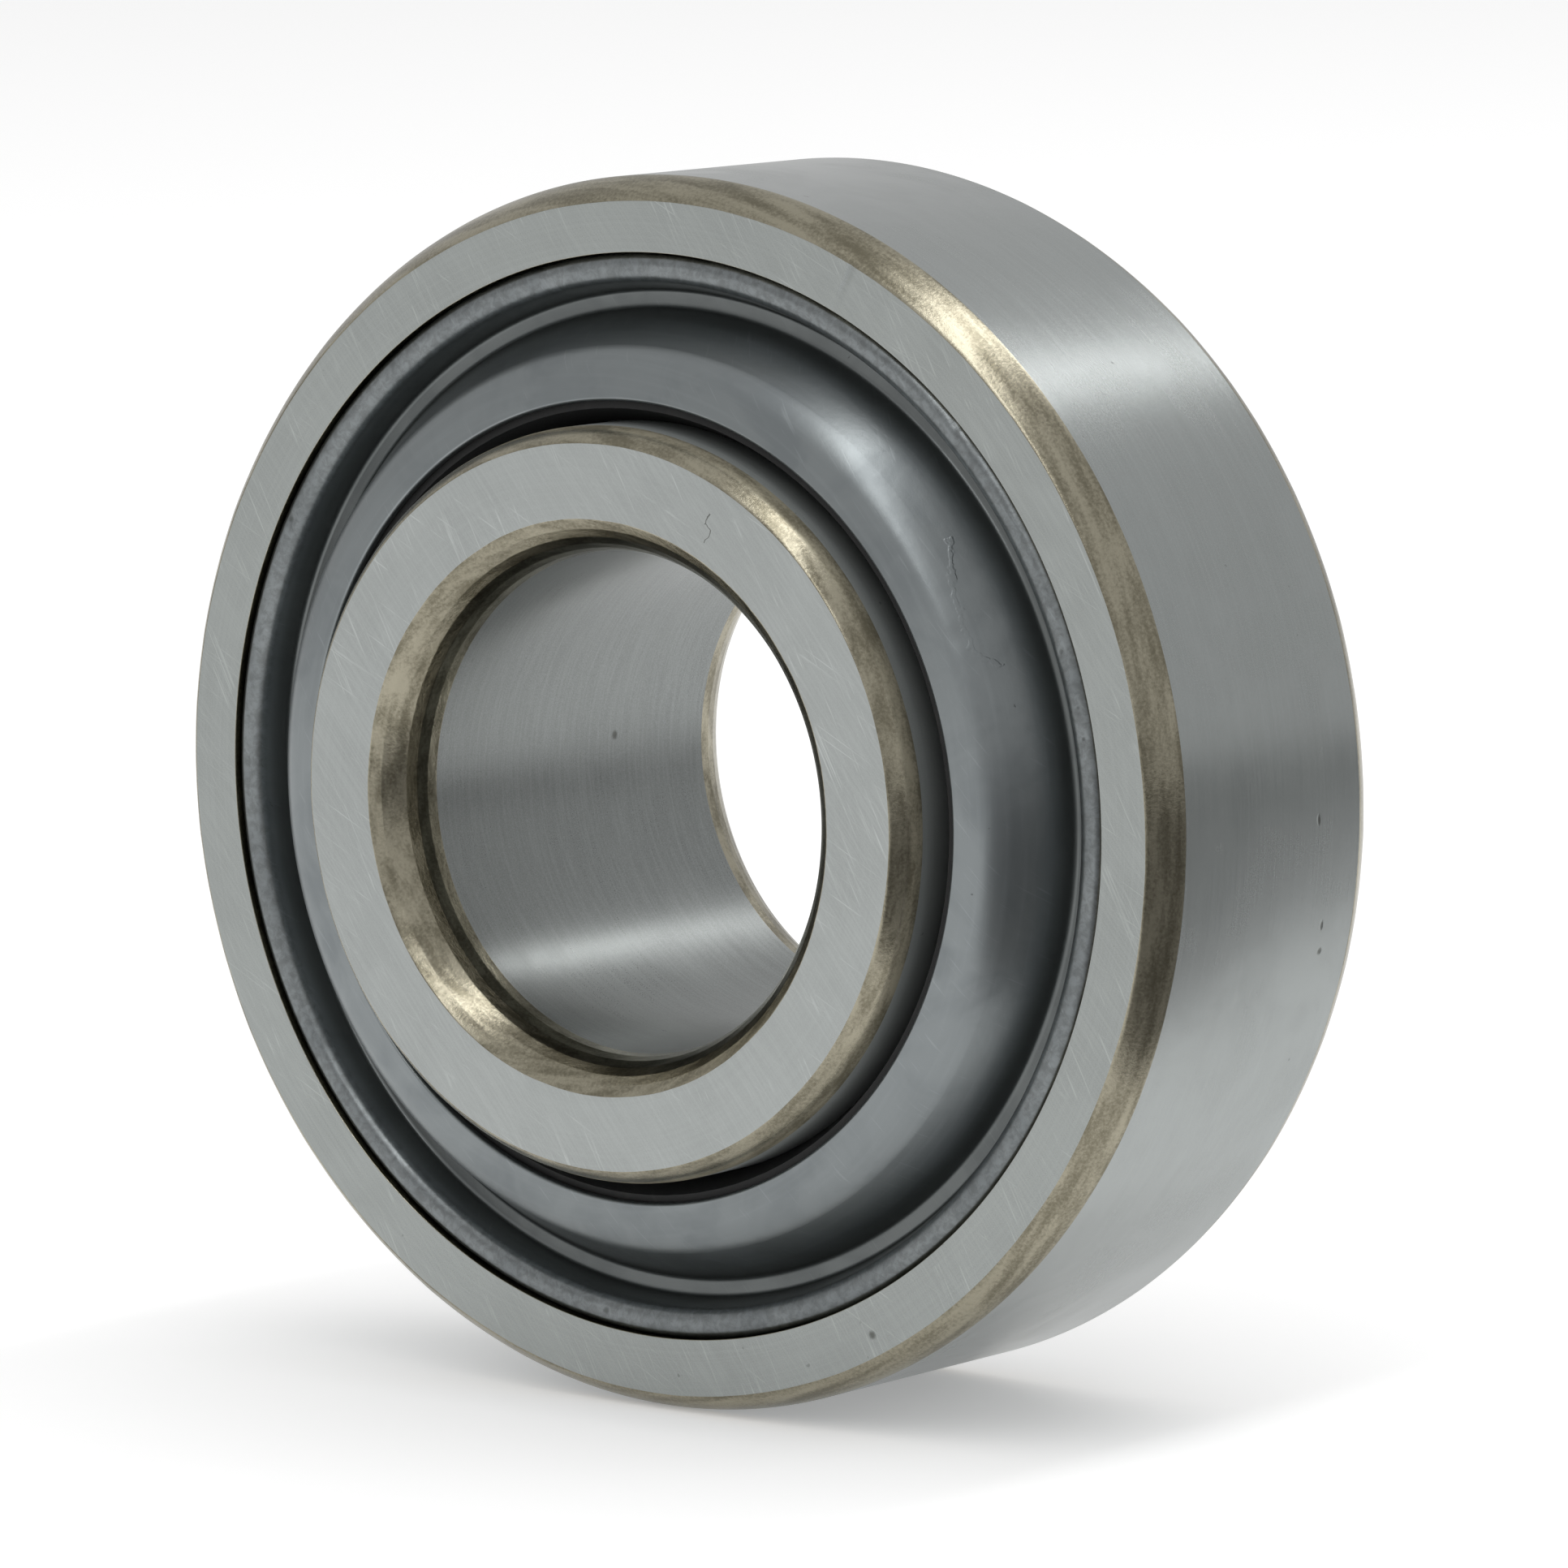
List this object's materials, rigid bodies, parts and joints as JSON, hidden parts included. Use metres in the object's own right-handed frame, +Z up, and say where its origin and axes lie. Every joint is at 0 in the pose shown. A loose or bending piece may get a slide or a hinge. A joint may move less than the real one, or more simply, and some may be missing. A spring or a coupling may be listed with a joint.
{
  "type": "ball bearing",
  "caption": "Deep-groove ball bearing with an inner ring wider than its outer ring, and pressed seal covers on both sides.",
  "frame": {"origin": "centre of the bearing, on its axis and in the middle plane of both rings", "axes": "Y is the bearing's axis, and the front looks along -Y; X and Z are radial, with +Z up"},
  "size_m": [0.04, 0.0182, 0.04],
  "materials": {
    "outer_ring_steel": "ground, satin",
    "inner_ring_steel": "ground, satin",
    "ball_steel": "lapped, mirror",
    "cage_steel": "pressed strip, tumbled",
    "rivet_steel": "headed, bright",
    "seal_cover_steel": "pressed sheet, smooth satin",
    "seal_rubber": "moulded, matt",
    "seal_backing_steel": "pressed sheet, satin"
  },
  "bodies": {
    "outer": {"outer_ring": "outer_ring_steel", "front_seal_cover": "seal_cover_steel", "front_seal_lip": "seal_rubber", "front_seal_backing": "seal_backing_steel", "rear_seal_cover": "seal_cover_steel", "rear_seal_lip": "seal_rubber", "rear_seal_backing": "seal_backing_steel"},
    "inner": {"inner_ring": "inner_ring_steel"},
    "cage": {"cage_half_front": "cage_steel", "cage_half_rear": "cage_steel", "cage_rivets": "rivet_steel"},
    "ball_1": {"ball_1": "ball_steel"},
    "ball_2": {"ball_2": "ball_steel"},
    "ball_3": {"ball_3": "ball_steel"},
    "ball_4": {"ball_4": "ball_steel"},
    "ball_5": {"ball_5": "ball_steel"},
    "ball_6": {"ball_6": "ball_steel"},
    "ball_7": {"ball_7": "ball_steel"},
    "ball_8": {"ball_8": "ball_steel"}
  },
  "joints": [
    {"name": "inner_ring_spin", "type": "hinge", "parent": "outer", "child": "inner", "pos_m": [0, 0, 0], "axis": [0, 1, 0], "continuous": true},
    {"name": "cage_spin", "type": "hinge", "parent": "outer", "child": "cage", "pos_m": [0, 0, 0], "axis": [0, 1, 0], "continuous": true},
    {"name": "ball_1_spin", "type": "hinge", "parent": "cage", "child": "ball_1", "pos_m": [0.01425, 0, 0], "axis": [0, 1, 0], "continuous": true},
    {"name": "ball_2_spin", "type": "hinge", "parent": "cage", "child": "ball_2", "pos_m": [0.01008, 0, 0.01008], "axis": [0, 1, 0], "continuous": true},
    {"name": "ball_3_spin", "type": "hinge", "parent": "cage", "child": "ball_3", "pos_m": [0, 0, 0.01425], "axis": [0, 1, 0], "continuous": true},
    {"name": "ball_4_spin", "type": "hinge", "parent": "cage", "child": "ball_4", "pos_m": [-0.01008, 0, 0.01008], "axis": [0, 1, 0], "continuous": true},
    {"name": "ball_5_spin", "type": "hinge", "parent": "cage", "child": "ball_5", "pos_m": [-0.01425, 0, 0], "axis": [0, 1, 0], "continuous": true},
    {"name": "ball_6_spin", "type": "hinge", "parent": "cage", "child": "ball_6", "pos_m": [-0.01008, 0, -0.01008], "axis": [0, 1, 0], "continuous": true},
    {"name": "ball_7_spin", "type": "hinge", "parent": "cage", "child": "ball_7", "pos_m": [0, 0, -0.01425], "axis": [0, 1, 0], "continuous": true},
    {"name": "ball_8_spin", "type": "hinge", "parent": "cage", "child": "ball_8", "pos_m": [0.01008, 0, -0.01008], "axis": [0, 1, 0], "continuous": true}
  ],
  "couplings": [
    {"joint": "cage_spin", "follows": "inner_ring_spin", "ratio": 0.38163},
    {"joint": "ball_1_spin", "follows": "inner_ring_spin", "ratio": -1.9937},
    {"joint": "ball_2_spin", "follows": "inner_ring_spin", "ratio": -1.9937},
    {"joint": "ball_3_spin", "follows": "inner_ring_spin", "ratio": -1.9937},
    {"joint": "ball_4_spin", "follows": "inner_ring_spin", "ratio": -1.9937},
    {"joint": "ball_5_spin", "follows": "inner_ring_spin", "ratio": -1.9937},
    {"joint": "ball_6_spin", "follows": "inner_ring_spin", "ratio": -1.9937},
    {"joint": "ball_7_spin", "follows": "inner_ring_spin", "ratio": -1.9937},
    {"joint": "ball_8_spin", "follows": "inner_ring_spin", "ratio": -1.9937}
  ]
}
